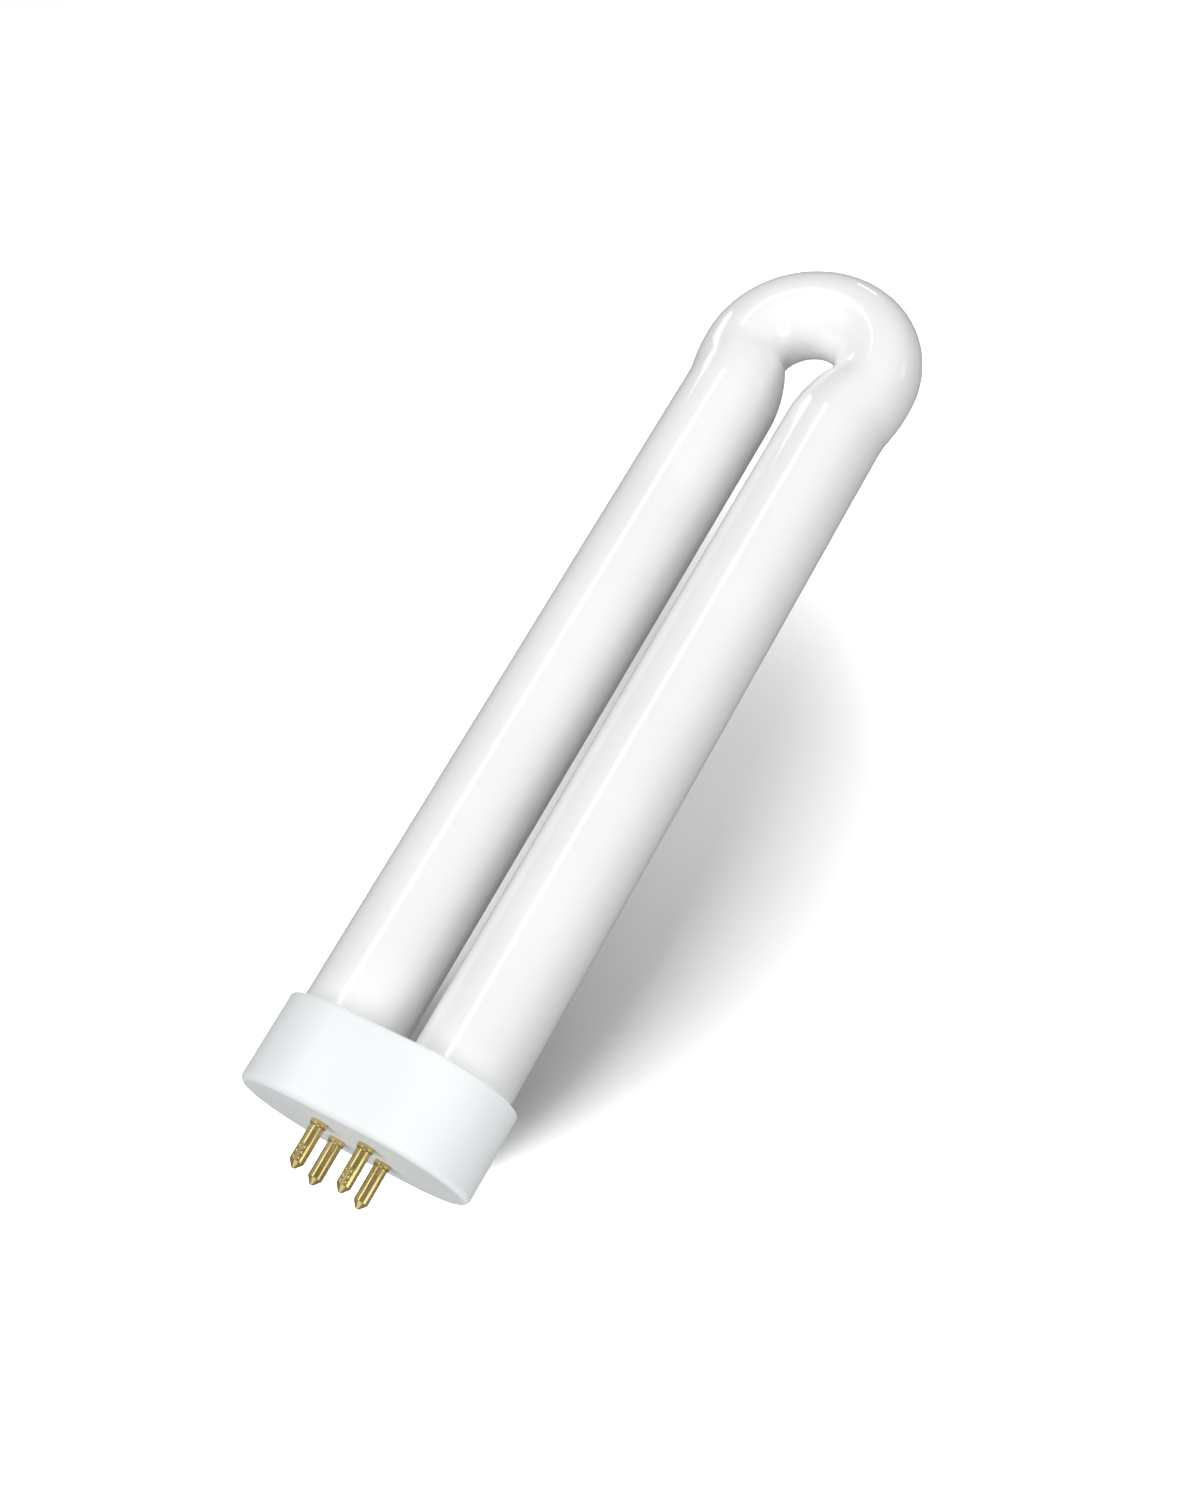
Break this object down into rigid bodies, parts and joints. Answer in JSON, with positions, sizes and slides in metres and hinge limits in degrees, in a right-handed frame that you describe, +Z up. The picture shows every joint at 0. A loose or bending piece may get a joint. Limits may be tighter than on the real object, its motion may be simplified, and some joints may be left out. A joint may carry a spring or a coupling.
{
  "type": "bug zapper uv bulb",
  "caption": "U-shaped opal glass tube cemented into an oval white plastic base with crimped brass pins; plugs into an insect zapper as its ultraviolet lamp.",
  "frame": {"origin": "under the middle of the lamp's box, on the surface that it lies on", "axes": "+X from the pins towards the bend, +Y across the two legs, +Z up"},
  "size_m": [0.2662, 0.0592, 0.0397],
  "materials": {
    "opal_glass": "gloss",
    "base_plastic": "satin",
    "basing_cement": "matte",
    "pin_brass": "satin",
    "lead_wire": "satin"
  },
  "bodies": {
    "root": {"glass_tube": "opal_glass", "base_shell": "base_plastic", "base_cement": "basing_cement", "contact_pin_1": "pin_brass", "lead_wire_1": "lead_wire", "contact_pin_2": "pin_brass", "lead_wire_2": "lead_wire", "contact_pin_3": "pin_brass", "lead_wire_3": "lead_wire", "contact_pin_4": "pin_brass", "lead_wire_4": "lead_wire"}
  },
  "joints": []
}
